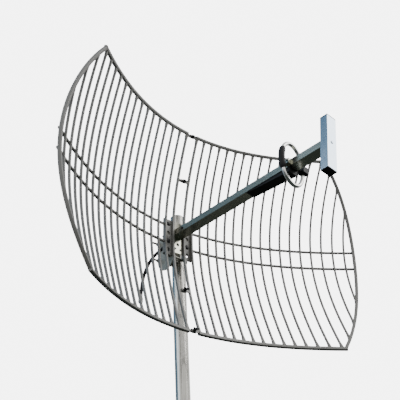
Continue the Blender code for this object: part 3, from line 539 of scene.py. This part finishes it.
def bar(start, end, width, depth, offset, steps, rounding, flare=0.0, follow=None):
    shape = bmesh.new()
    bmesh.ops.create_cube(shape, size=1)
    bmesh.ops.scale(shape, vec=(1, width, depth), verts=shape.verts)

    def lengthwise():
        return [edge for edge in shape.edges
                if abs(edge.verts[0].co.x - edge.verts[1].co.x) > 0.5]

    bmesh.ops.bevel(shape, geom=lengthwise(), offset=rounding, affect="EDGES", segments=2,
                    profile=0.5, material=-1)
    bmesh.ops.subdivide_edges(shape, edges=lengthwise(), cuts=steps - 1)
    start, end = Vector(start), Vector(end)
    run = (end - start).length

    def at(t):
        spot = start.lerp(end, t)
        return follow(spot) if follow else spot

    for vert in shape.verts:
        t = vert.co.x + 0.5
        spot = at(t)
        along = (onDish(*at(t + 0.001)) - onDish(*at(t - 0.001))).normalized()
        normal = dishNormal(*spot)
        across = normal.cross(along).normalized()
        nearEnd = max(0.0, 1 - min(t, 1 - t) * run / grid["flareLength"])
        spread = 1 + flare / width * nearEnd ** 2
        vert.co = (onDish(*spot) + across * (vert.co.y * spread)
                   + normal * (vert.co.z + offset))
    return shape


def gridBars(side, inner, second):
    half, corner = grid["halfHeight"], grid["cornerX"]
    stock = (grid["frameWidth"], grid["frameDepth"])
    bars = [bar((side * corner, -half), (side * corner, half), *stock, 0.0, grid["sideSteps"],
                grid["frameEdge"], follow=lambda spot: Vector((side * sideX(spot.y), spot.y)))]
    for level in (half, -half):
        bars.append(bar((side * (inner - grid["innerWidth"] / 2), level),
                        (side * (corner + grid["frameWidth"] / 2), level), *stock,
                        grid["frameRise"], grid["endSteps"], grid["frameEdge"]))
    for number in range(grid["ribs"]):
        x = inner + number * grid["pitch"]
        end = half if x <= corner else min(half, sideY(x))
        width = grid["ribWidth"] if number else grid["innerWidth"]
        bars.append(bar((side * x, -end), (side * x, end), width, grid["ribDepth"],
                        grid["ribRise"], grid["steps"], grid["ribEdge"], grid["flare"]))
    for level in grid["rods"]:
        bars.append(bar((side * second, level), (side * sideX(level), level), grid["rodWidth"],
                        grid["rodDepth"], rodOffset, grid["steps"], grid["rodEdge"]))
    offset = side * (grid["earThickness"] / 2 + gap / 2)
    for level in grid["ears"].values():
        bars.append(bar((side * inner, level), (-side * grid["earOverlap"], level),
                        grid["earHeight"], grid["earThickness"], offset, grid["earSteps"],
                        grid["earEdge"]))
    return bars


def gridHub(side, inner, second):
    back, bottom, top = grid["hubBack"], grid["hubBottom"], grid["hubTop"]
    low = inner - grid["innerWidth"] / 2
    high = second + grid["ribWidth"] / 2
    hub = block((min(side * low, side * high), bottom, back),
                (max(side * low, side * high), top, back + grid["hubThickness"]))
    half, radius = grid["squareHole"] / 2, grid["roundHole"] / 2
    holes = [block((side * hubX - half, level - half, back - 0.01),
                   (side * hubX + half, level + half, back + 0.02))
             for level in grid["squareY"]]
    holes += [lathe([(0, -0.01), (radius, -0.01), (radius, 0.02), (0, 0.02)],
                    (side * hubX, level, back)) for level in grid["roundY"]]
    parts = [soften(carve(hub, holes), 0.0005, 2, 40)]
    inset = 0.0002                                # a cheek stands just inside its rib and plate
    for x, width in ((inner, grid["innerWidth"]), (second, grid["ribWidth"])):
        parts.append(block((side * x - width / 2 + inset, bottom + inset, back + 0.001),
                           (side * x + width / 2 - inset, top - inset, dishDepth(x, bottom)),
                           0.0006))
    return parts


def makeGridHalf(side, name, node):
    inner = grid["centreGap"] / 2
    second = inner + grid["pitch"]
    whole = join(*gridBars(side, inner, second), *gridHub(side, inner, second))
    piece(node, place(whole, dishFrame), "gridCoat", name=name)


makeGridHalf(1, "gridRight", "right_grid")
makeGridHalf(-1, "gridLeft", "left_grid")
print("grid halves made")


# fasteners: each stands on its face at zero and points up

fastener = {
    "across": 0.0100, "diameter": 0.0060, "nut": 0.0050, "head": 0.0042,
    "washer": 0.0012, "washerWidth": 0.0125, "edge": 0.0002, "slot": 0.00045,
    "seamLength": 0.0170, "seamDiameter": 0.0040, "seamHead": 0.0080,
}


def threaded(radius, start, end, pitch=0.0010, depth=0.0004):
    profile = []
    count = max(1, int((end - start) / pitch))
    for turn in range(count):
        low = start + (end - start) * turn / count
        profile += [(radius - depth, low), (radius, low + pitch * 0.45)]
    return profile + [(radius - depth, end)]


def hexShape(across, low, high, chamfer=0.0007):
    shape = bmesh.new()
    point = across / 2 / math.cos(math.pi / 6)
    spare = 0.0010                                # past the drum that cuts the prism's ends
    bmesh.ops.create_cone(shape, cap_ends=True, segments=6, radius1=point, radius2=point,
                          depth=high - low + 2 * spare)
    bmesh.ops.translate(shape, vec=(0, 0, (high + low) / 2), verts=shape.verts)
    corner = point + 0.0002
    flat = across / 2 * 0.97
    drum = lathe([(0, low), (flat, low), (corner, low + chamfer), (corner, high - chamfer),
                  (flat, high), (0, high)], steps=36)
    return carve(shape, [drum], "INTERSECT")


def discShape(width, thickness, lower, upper):
    rim, inner = width / 2, fastener["diameter"] / 2 + gap
    return lathe([(inner, 0), (rim - lower, 0), (rim, lower), (rim, thickness - lower),
                  (rim - upper, thickness), (inner, thickness), (inner, 0)], steps=36)


def nutShape(flange=0.0, thickness=0.0):
    shape = hexShape(fastener["across"], thickness * 0.6, fastener["nut"] + thickness)
    bore = fastener["diameter"] / 2 + gap
    hole = lathe([(0, -0.01), (bore, -0.01), (bore, 0.03), (0, 0.03)], steps=24)
    shape = carve(shape, [hole])
    return join(shape, discShape(flange, thickness, 0.0003, 0.0004)) if flange else shape


def washerShape():
    edge = fastener["edge"]
    return discShape(fastener["washerWidth"], fastener["washer"], edge, edge)


def boltShape(length):
    top = hexShape(fastener["across"], -fastener["head"], 0)
    radius = fastener["diameter"] / 2
    plain = length * 0.35
    shank = lathe([(0, -0.001), (radius, -0.001), (radius, plain)]
                  + threaded(radius, plain, length - 0.0006)
                  + [(radius - 0.0008, length), (0, length)], steps=24)
    return join(top, shank)


def panShape(length, diameter, headDiameter, head=0.0024):
    radius, rim = diameter / 2, headDiameter / 2
    shape = lathe([(0, -head), (rim * 0.45, -head * 0.97), (rim * 0.75, -head * 0.80),
                   (rim * 0.95, -head * 0.45), (rim, -head * 0.18), (rim, -0.0001),
                   (rim - fastener["edge"], 0), (radius, 0)]
                  + threaded(radius, 0.0004, length - 0.0004, 0.0008, 0.0003)
                  + [(radius - 0.0006, length), (0, length)], steps=28)
    long, thin = rim * 0.55, fastener["slot"]
    slots = [block((-x, -y, -head - 0.001), (x, y, -head * 0.5))
             for x, y in ((long, thin), (thin, long))]
    return carve(shape, slots)


wing = {
    "hub": ((0.0023, 0), (0.0048, 0), (0.0050, 0.0003), (0.0040, 0.0057), (0.0037, 0.0060),
            (0.0023, 0.0060), (0.0023, 0)),
    "low": (0.0020, -0.0010, 0.0010), "high": (0.0120, 0.0010, 0.0055),
    "corner": 0.0021, "edge": 0.0004, "rise": 0.001, "lean": -30,
}


def wingShape():
    parts = [lathe(wing["hub"], steps=28)]
    lean = Matrix.Rotation(math.radians(wing["lean"]), 4, "Y")
    for turn in (0, math.pi):
        blade = block(wing["low"], wing["high"])
        corners = [edge for edge in blade.edges
                   if abs(edge.verts[0].co.y - edge.verts[1].co.y) > 0.001
                   and edge.verts[0].co.x > 0.01]
        bmesh.ops.bevel(blade, geom=corners, offset=wing["corner"], affect="EDGES", segments=5,
                        profile=0.5, material=-1)
        soften(blade, wing["edge"], 2, 60)
        blade.transform(Matrix.Rotation(turn, 4, "Z") @ Matrix.Translation((0, 0, wing["rise"]))
                        @ lean)
        parts.append(blade)
    return join(*parts)


def upright(start, along):
    along = Vector(along).normalized()
    side = along.cross(Vector((0, 1, 0))).normalized()
    turn = Matrix((side, along.cross(side), along)).transposed().to_4x4()
    return Matrix.Translation(start) @ turn


def makeSeams():
    reach = grid["earThickness"] + 1.5 * gap
    for name, level in grid["ears"].items():
        normal = dishNormal(0, level)
        screw = panShape(fastener["seamLength"], fastener["seamDiameter"], fastener["seamHead"])
        fitted(f"seam_screw_{name}", screw, onDish(0, level) - normal * reach, normal,
               "blackOxide")
        front = onDish(0, level) + normal * reach
        piece(f"wing_nut_{name}", place(wingShape(), dishFrame @ upright(front, normal)),
              "blackOxide")


makeSeams()
print("seam screws made")


# bracket: flange and tilt plate, bolted behind the hub plates

bracket = {
    "plateLeft": -0.0510, "plateThickness": 0.0030, "boltReach": 0.0095,
    "pivotY": 0.0100, "pivotZ": -0.0240, "lockRadius": 0.0420, "lockAngle": 51,
    "flangeBack": -0.0098, "edge": 0.0006,
    "footX": 0.0090, "footY": -0.0440, "footPlate": 0.0035,
    "footScrew": (0.0100, 0.0030, 0.0058, 0.0018),
}
carriage = {
    "dome": ((0, -0.0032), (0.0020, -0.0031), (0.0038, -0.0026), (0.0052, -0.0017),
             (0.0061, -0.0006), (0.0064, 0), (0, 0)),
    "neck": 0.0030, "neckEdge": 0.0004, "plain": 0.0060, "length": 0.0160,
}


def makeHinge():
    refined("tilt_bracket", "zincPlate", bracket["edge"])
    left = bracket["plateLeft"] - pivot.x
    right = left + 2 * bracket["plateThickness"] + gap
    turn = math.radians(bracket["lockAngle"])
    spots = {"pivot": (bracket["pivotY"], bracket["pivotZ"]),
             "lock": (bracket["pivotY"] - bracket["lockRadius"] * math.sin(turn),
                      bracket["pivotZ"] - bracket["lockRadius"] * math.cos(turn))}
    for name, spot in spots.items():
        rows = (("bolt", boltShape(right - left + bracket["boltReach"]), right + gap),
                ("washer", washerShape(), left - gap),
                ("nut", nutShape(), left - fastener["washer"] - 2 * gap))
        for kind, shape, x in rows:
            fitted(f"{name}_{kind}", shape, (x, *spot), (-1, 0, 0), "boltZinc")


def carriageShape():
    neck = grid["squareHole"] / 2 - gap
    square = block((-neck, -neck, -0.001), (neck, neck, carriage["neck"]), carriage["neckEdge"])
    radius, plain, length = fastener["diameter"] / 2, carriage["plain"], carriage["length"]
    shank = lathe([(0, 0.0025), (radius, 0.0025), (radius, plain)]
                  + threaded(radius, plain, length - 0.0004)
                  + [(radius - 0.0008, length), (0, length)], steps=24)
    return join(lathe(carriage["dome"]), square, shank)


def makeHubBolts():
    front = grid["hubBack"] + grid["hubThickness"] + gap
    foot = grid["hubBack"] + bracket["footPlate"] + 6 * gap
    for side, sideName in ((-1, "left"), (1, "right")):
        for level, levelName in zip(grid["squareY"], ("upper", "lower")):
            label = f"{sideName}_{levelName}"
            fitted(f"carriage_bolt_{label}", carriageShape(), (side * hubX, level, front),
                   (0, 0, -1), "blackOxide")
            fitted(f"flange_nut_{label}", nutShape(),
                   (side * hubX, level, bracket["flangeBack"] - gap), (0, 0, -1), "boltZinc")
        fitted(f"foot_screw_{sideName}", panShape(*bracket["footScrew"]),
               (side * bracket["footX"], bracket["footY"], foot), (0, 0, -1), "boltZinc")


makeHinge()
makeHubBolts()
print("bracket made")


# clamp on the mast

clamp = {
    "reach": 0.0220, "drop": 0.0520, "offset": 0.0190 + 0.0030 + 0.0003, "rod": 0.0060,
    "threadLength": 0.0300, "steps": 32, "sides": 20, "plateEdge": 0.0006,
    "saddleEdge": 0.0010, "flange": 0.0125, "flangeThickness": 0.0012,
}


def makeUBolt(node, level):
    length = clamp["reach"] - bracket["plateLeft"]
    radius = clamp["rod"] / 2
    shape = bmesh.new()
    bmesh.ops.create_circle(shape, cap_ends=False, segments=clamp["sides"], radius=radius)
    bmesh.ops.rotate(shape, matrix=Matrix.Rotation(math.pi / 2, 3, "Y"), verts=shape.verts)
    bmesh.ops.translate(shape, vec=(0, -clamp["offset"], 0), verts=shape.verts)
    bmesh.ops.spin(shape, geom=shape.verts[:] + shape.edges[:], axis=(0, 0, 1), cent=(0, 0, 0),
                   angle=math.pi, steps=clamp["steps"], use_merge=False)
    plain = length - clamp["threadLength"]
    profile = ([(0, -0.0001), (radius, -0.0001), (radius, plain)]
               + threaded(radius, plain, length - 0.0006)
               + [(radius - 0.0008, length), (0, length)])
    legs = [lathe(profile, (0, side * clamp["offset"], 0), (-1, 0, 0), clamp["sides"])
            for side in (-1, 1)]
    whole = place(join(capped(shape), *legs), clampFrame @ Matrix.Translation((0, 0, level)))
    piece(node, whole, "boltZinc", "clamp")


def makeClamp():
    refined("clamp_plate", "zincPlate", clamp["plateEdge"], "clamp")
    for label, level in (("upper", 0), ("lower", -clamp["drop"])):
        refined(f"saddle_{label}", "zincPlate", clamp["saddleEdge"], "clamp")
        makeUBolt(f"u_bolt_{label}", level)
        for way, wayName in ((-1, "front"), (1, "rear")):
            fitted(f"clamp_nut_{label}_{wayName}",
                   nutShape(clamp["flange"], clamp["flangeThickness"]),
                   (bracket["plateLeft"] - gap, way * clamp["offset"], level), (-1, 0, 0),
                   "boltZinc", clampFrame, "clamp")


makeClamp()
print("clamp made")


# mast

mast = {"radius": 0.0190, "wall": 0.0020, "low": 0.0033, "high": 0.6030, "plug": 0.0200,
        "capDepth": 0.0120, "edge": 0.0004, "footEdge": 0.0006, "footRim": 0.0030}


def makeMast():
    rim, inner = mast["radius"], mast["radius"] - mast["wall"]
    low, high, edge = mast["low"], mast["high"], mast["edge"]
    tube = lathe([(inner, low), (rim - edge, low), (rim, low + edge), (rim, high - edge),
                  (rim - edge, high), (inner, high), (inner, low)], steps=72)
    piece("mast", tube, "mastSteel", "mast", "mastTube")
    bore = inner - gap
    curve, flat, plug = mast["footEdge"], mast["footRim"], mast["plug"]
    foot = lathe([(0, 0), (rim - curve, 0), (rim, curve), (rim, flat - edge), (rim - edge, flat),
                  (bore, flat), (bore, plug - edge), (bore - curve, plug), (0, plug)], steps=48)
    piece("mast_foot_plug", foot, "blackPlastic", "mast", "mastFoot")
    top = high + gap
    deep = top - mast["capDepth"]
    cap = lathe([(0, top + 0.0030), (0.0090, top + 0.0029), (0.0150, top + 0.0025),
                 (0.0178, top + 0.0016), (0.0188, top + 0.0007), (0.0190, top + 0.0001),
                 (0.0189, top), (bore, top), (bore, deep + 0.0003), (bore - curve, deep),
                 (0, deep)], steps=48)
    piece("mast_cap", cap, "zincPlate", "mast")


makeMast()
print("mast made")


# feed: socket, arm, reflector bar and loop

feed = {
    "loopZ": 0.4265, "loopRise": 0.0040, "halfWidth": 0.0355, "halfHeight": 0.0585,
    "rod": 0.0100, "points": 80, "sleeveStart": 139.5, "sleeveEnd": 202.5, "sleeveSteps": 22,
    "sleeveRadius": 0.0080, "sleeveMouth": 0.0062, "swell": 6,
    "armHalf": 0.0135, "barZ": 0.5370, "barDepth": 0.0215, "terminalDepth": 0.0070,
    "blockScrew": (0.0060, 0.0030, 0.0066, 0.0045), "blockScrewAt": (0.0060, 0.0110, 0.0065),
    "terminalScrew": (0.0026, 0.0030, 0.0058, 0.0018), "terminalScrewAt": (0.0060, 0.0010),
    "armScrew": (0.0042, 0.0040, 0.0080), "armScrewZ": 0.0330,
    "rivetHead": [(0, -0.0014), (0.0022, -0.0013), (0.0034, -0.0009), (0.0040, -0.0002),
                  (0.0039, 0), (0.0020, 0)],
    "rivetRadius": 0.0020, "rivetPlain": 0.0150, "rivetLength": 0.0320,
}
feedSolids = (
    ("feed_socket", "armMetal", 0.0008),
    ("feed_arm", "armMetal", 0.0007),
    ("reflector_bar", "barMetalPaintedReflection", 0.0007),
    ("bar_cap_top", "blackPlastic", 0.0005),
    ("bar_cap_bottom", "blackPlastic", 0.0005),
    ("arm_end_plug", "blackPlastic", 0.0005),
)


def loopPlace(angle):
    turn = math.radians(angle)
    return Vector((feed["halfWidth"] * math.cos(turn),
                   feed["loopRise"] + feed["halfHeight"] * math.sin(turn), feed["loopZ"]))


def ringAlong(points, radii, closed, sides=20):
    shape = bmesh.new()
    loops = []
    count = len(points)
    for index, (spot, radius) in enumerate(zip(points, radii)):
        before = points[index - 1] if index or closed else spot
        after = points[(index + 1) % count] if index + 1 < count or closed else spot
        made = bmesh.ops.create_circle(shape, cap_ends=False, segments=sides, radius=radius,
                                       matrix=aimed(spot, after - before))
        ring = list(made["verts"])
        loops.append({edge for vert in ring for edge in vert.link_edges})
    pairs = list(zip(loops, loops[1:])) + ([(loops[-1], loops[0])] if closed else [])
    for first, second in pairs:
        bmesh.ops.bridge_loops(shape, edges=list(first | second))
    return shape if closed else capped(shape)


def makeLoop():
    count = feed["points"]
    spots = [loopPlace(360 * number / count) for number in range(count)]
    loop = ringAlong(spots, [feed["rod"] / 2] * count, True)
    piece("loop_element", place(loop, feedFrame), "brightPlate", name="feedLoop")
    steps, mouth = feed["sleeveSteps"], feed["sleeveMouth"]
    span = feed["sleeveEnd"] - feed["sleeveStart"]
    spots, radii = [], []
    for number in range(steps + 1):
        t = number / steps
        spots.append(loopPlace(feed["sleeveStart"] + span * t))
        swell = min(1.0, feed["swell"] * t, feed["swell"] * (1 - t))
        radii.append(mouth + (feed["sleeveRadius"] - mouth) * math.sin(swell * math.pi / 2))
    sleeve = ringAlong(spots, radii, False)
    piece("loop_sleeve", place(sleeve, feedFrame), "blackPlastic")
    refined("loop_block", "blackPlastic", 0.0009)
    refined("feed_terminal", "armMetal", 0.0006)


def makeFeedScrews():
    z = feed["loopZ"]
    x, y, rise = feed["blockScrewAt"]
    fitted("block_screw", panShape(*feed["blockScrew"]),
           (feed["halfWidth"] + x, y + gap, z + rise), (0, -1, 0), "brightPlate", armFrame)
    y, rise = feed["terminalScrewAt"]
    face = -feed["armHalf"] - 2 * gap
    fitted("terminal_screw", panShape(*feed["terminalScrew"]),
           (face - feed["terminalDepth"], y, z + rise), (1, 0, 0), "brightPlate", armFrame)


def makeFeed():
    for node, finish, width in feedSolids:
        refined(node, finish, width)
    fitted("arm_screw", panShape(*feed["armScrew"]),
           (-feed["armHalf"] - 2 * gap, 0, feed["armScrewZ"]), (1, 0, 0), "blackOxide", armFrame)
    radius, length = feed["rivetRadius"], feed["rivetLength"]
    rivet = lathe(feed["rivetHead"] + threaded(radius, feed["rivetPlain"], length - 0.0008)
                  + [(radius - 0.0006, length), (0, length)], steps=28)
    fitted("bar_screw", rivet, (0, 0, feed["barZ"] + feed["barDepth"] / 2 + gap), (0, 0, -1),
           "barMetalPaintedReflection", armFrame)
    makeLoop()
    makeFeedScrews()


makeFeed()
print("feed made")


# gland and the small tie on the rod

gland = {"across": 0.0140, "height": 0.0060, "thread": 0.0046, "depth": 0.0060,
         "tip": ((0, -0.0062), (0.0042, -0.0062))}


def makeSmallParts():
    spot = (*cable["route"][0][:2], bracket["flangeBack"] - gap)
    body = hexShape(gland["across"], 0, gland["height"])
    thread = lathe([*gland["tip"], *threaded(gland["thread"], -gland["depth"], 0.0), (0, 0.001)],
                   steps=24)
    fitted("cable_gland", join(body, thread), spot, (0, 0, -1), "blackPlastic")
    refined("rod_tie", "blackPlastic", 0.0003)
    nodes["inner_coax"].data.materials.clear()
    nodes["inner_coax"].data.materials.append(finishes["cableJacket"])


makeSmallParts()
print("small parts made")


# studio

studio = {
    "floorHeight": -0.62, "floorRadius": 14, "floorColour": (0.80, 0.80, 0.79),
    "floorMottle": 0.96, "floorScale": 1.2,
    "patch": (-0.44, 0.63, 0.64), "patchEdge": (0.50, 0.90), "horizon": (-0.12, 0.10),
    "skyPlain": (1.00, 1.00, 1.00), "skyPatch": (0.13, 0.23, 0.33),
    "ground": (0.040, 0.050, 0.046), "strength": 1.2, "backdrop": 6.0,
    "aim": (0, -0.2, 0.5),
}
lights = {
    "keyLight": {"spot": (2.2, -2.6, 2.6), "size": (2.2, 2.2), "power": 60,
                 "colour": (1, 1, 1)},
    "fillLight": {"spot": (-3.0, 0.8, 2.0), "size": (2.0, 3.0), "power": 30,
                  "colour": (0.80, 0.90, 1.0)},
}


def makeFloor():
    shape = bmesh.new()
    bmesh.ops.create_circle(shape, cap_ends=True, segments=96, radius=studio["floorRadius"])
    bmesh.ops.translate(shape, vec=(0, 0, studio["floorHeight"]), verts=shape.verts)
    mesh = bpy.data.meshes.new("floor")
    shape.to_mesh(mesh)
    shape.free()
    finish = Finish("floorPaint", Roughness=0.9)
    cloud = finish.noise(finish.place, studio["floorScale"], 2)
    light = studio["floorColour"]
    dark = [value * studio["floorMottle"] for value in light]
    finish.feed("Base Color", finish.blend(cloud, light, dark))
    mesh.materials.append(finish.material)
    floor = added("floor", mesh)
    floor.visible_glossy = False
    floor.visible_diffuse = False


def makeLight(name, light):
    lamp = bpy.data.lights.new(name, "AREA")
    lamp.shape = "RECTANGLE"
    lamp.size, lamp.size_y = light["size"]
    lamp.energy = light["power"]
    lamp.color = light["colour"]
    holder = added(name, lamp)
    holder.matrix_world = aimed(light["spot"], Vector(light["spot"]) - Vector(studio["aim"]))


def makeWorld():
    world = bpy.data.worlds.new("studio")
    bpy.context.scene.world = world
    world.use_nodes = True
    world.node_tree.nodes.clear()
    graph = Graph(world.node_tree)
    direction = graph.add("ShaderNodeTexCoord", None, None, "Generated")
    split = graph.add("ShaderNodeSeparateXYZ", None, {"Vector": direction})
    x, y, z = (Wire(graph, output) for output in split.socket.node.outputs)
    patch = Vector(studio["patch"]).normalized()
    facing = x * patch.x + y * patch.y + z * patch.z
    sky = graph.blend(graph.between(facing, *studio["patchEdge"]), studio["skyPlain"],
                      studio["skyPatch"])
    colour = graph.blend(graph.between(z, *studio["horizon"]), studio["ground"], sky)
    lit = graph.add("ShaderNodeBackground", None,
                    {"Color": colour, "Strength": studio["strength"]})
    seen = graph.add("ShaderNodeBackground", None,
                     {"Color": (1, 1, 1), "Strength": studio["backdrop"]})
    ray = graph.add("ShaderNodeLightPath", None, None, "Is Camera Ray")
    mixed = graph.add("ShaderNodeMixShader", None, {0: ray, 1: lit, 2: seen})
    output = graph.tree.nodes.new("ShaderNodeOutputWorld")
    graph.tree.links.new(mixed.socket, output.inputs["Surface"])


makeFloor()
makeWorld()
for name, light in lights.items():
    makeLight(name, light)
print("studio made")
